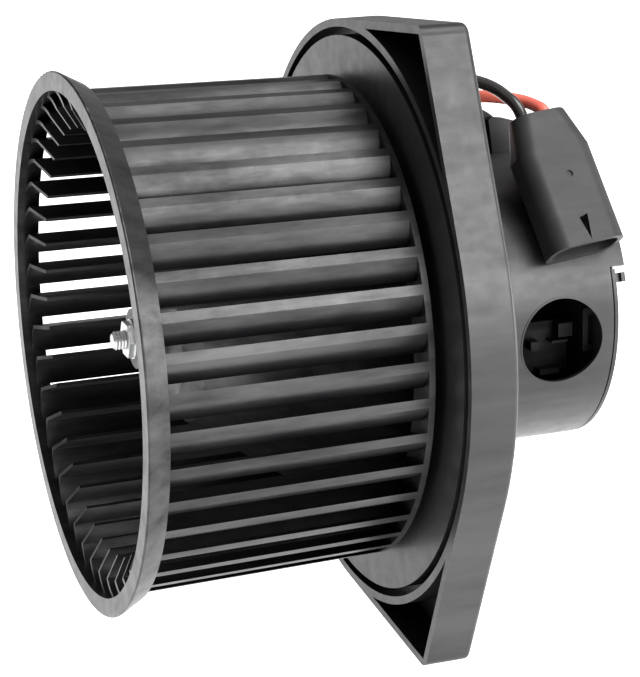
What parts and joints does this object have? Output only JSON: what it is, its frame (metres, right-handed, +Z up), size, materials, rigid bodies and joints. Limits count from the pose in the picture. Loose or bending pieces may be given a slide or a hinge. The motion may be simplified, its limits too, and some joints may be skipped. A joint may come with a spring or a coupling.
{
  "type": "blower motor wheel",
  "caption": "Squirrel-cage fan wheel on the shaft of an enclosed motor with a three-lobed mounting flange, a two-way plug seat and short leads.",
  "frame": {"origin": "centre of the three mounting screws, on the back face of the flange", "axes": "+X along the shaft from the wheel's inlet to the motor's rear, +Z up"},
  "size_m": [0.1495, 0.1872, 0.179],
  "materials": {
    "black_plastic": "satin moulded",
    "plug_plastic": "matt moulded",
    "card_board": "matt",
    "dark_rubber": "matt",
    "zinc_steel": "zinc plated",
    "steel": "ground",
    "core_steel": "laminated",
    "ferrite": "matt sintered",
    "bronze": "sintered",
    "copper": "bright",
    "tin_brass": "tinned",
    "carbon": "matt",
    "lead_black": "gloss insulation",
    "lead_red": "gloss insulation",
    "collar_metal": "turned",
    "nylon": "satin"
  },
  "bodies": {
    "housing": {"mounting_flange": "black_plastic", "motor_plate": "black_plastic", "motor_housing": "black_plastic", "rear_cover": "black_plastic", "isolators": "dark_rubber", "motor_can": "zinc_steel", "magnet_upper": "ferrite", "magnet_lower": "ferrite", "magnet_clips": "steel", "front_bearing": "bronze", "rear_bearing": "bronze", "front_bearing_clip": "steel", "rear_bearing_clip": "steel", "brush_card": "card_board", "brush_holder_upper": "tin_brass", "brush_holder_lower": "tin_brass", "brush_spring_upper": "steel", "brush_spring_lower": "steel", "brush_terminals": "plug_plastic", "chokes": "copper", "plug_housing": "plug_plastic", "terminals": "tin_brass", "lead_grommet": "dark_rubber", "lead_black": "lead_black", "lead_red": "lead_red"},
    "rotor": {"inlet_ring": "black_plastic", "blade_set": "black_plastic", "wheel_hub": "black_plastic", "drive_collar": "collar_metal", "wheel_nut": "zinc_steel", "shaft": "steel", "armature_core": "core_steel", "armature_windings": "copper", "end_insulators": "nylon", "commutator": "copper", "thrust_washers": "nylon"},
    "upper_brush": {"brush_upper": "carbon"},
    "lower_brush": {"brush_lower": "carbon"}
  },
  "joints": [
    {"name": "rotor_spin", "type": "hinge", "parent": "housing", "child": "rotor", "pos_m": [0, 0, 0], "axis": [1, 0, 0], "continuous": true},
    {"name": "upper_brush_slide", "type": "slide", "parent": "housing", "child": "upper_brush", "axis": [0, 0, 1], "range_m": [0, 0.0025], "stiffness_N_per_m": 150, "springref_m": -0.004, "deforming": ["brush_spring_upper"]},
    {"name": "lower_brush_slide", "type": "slide", "parent": "housing", "child": "lower_brush", "axis": [0, 0, -1], "range_m": [0, 0.0025], "stiffness_N_per_m": 150, "springref_m": -0.004, "deforming": ["brush_spring_lower"]}
  ]
}
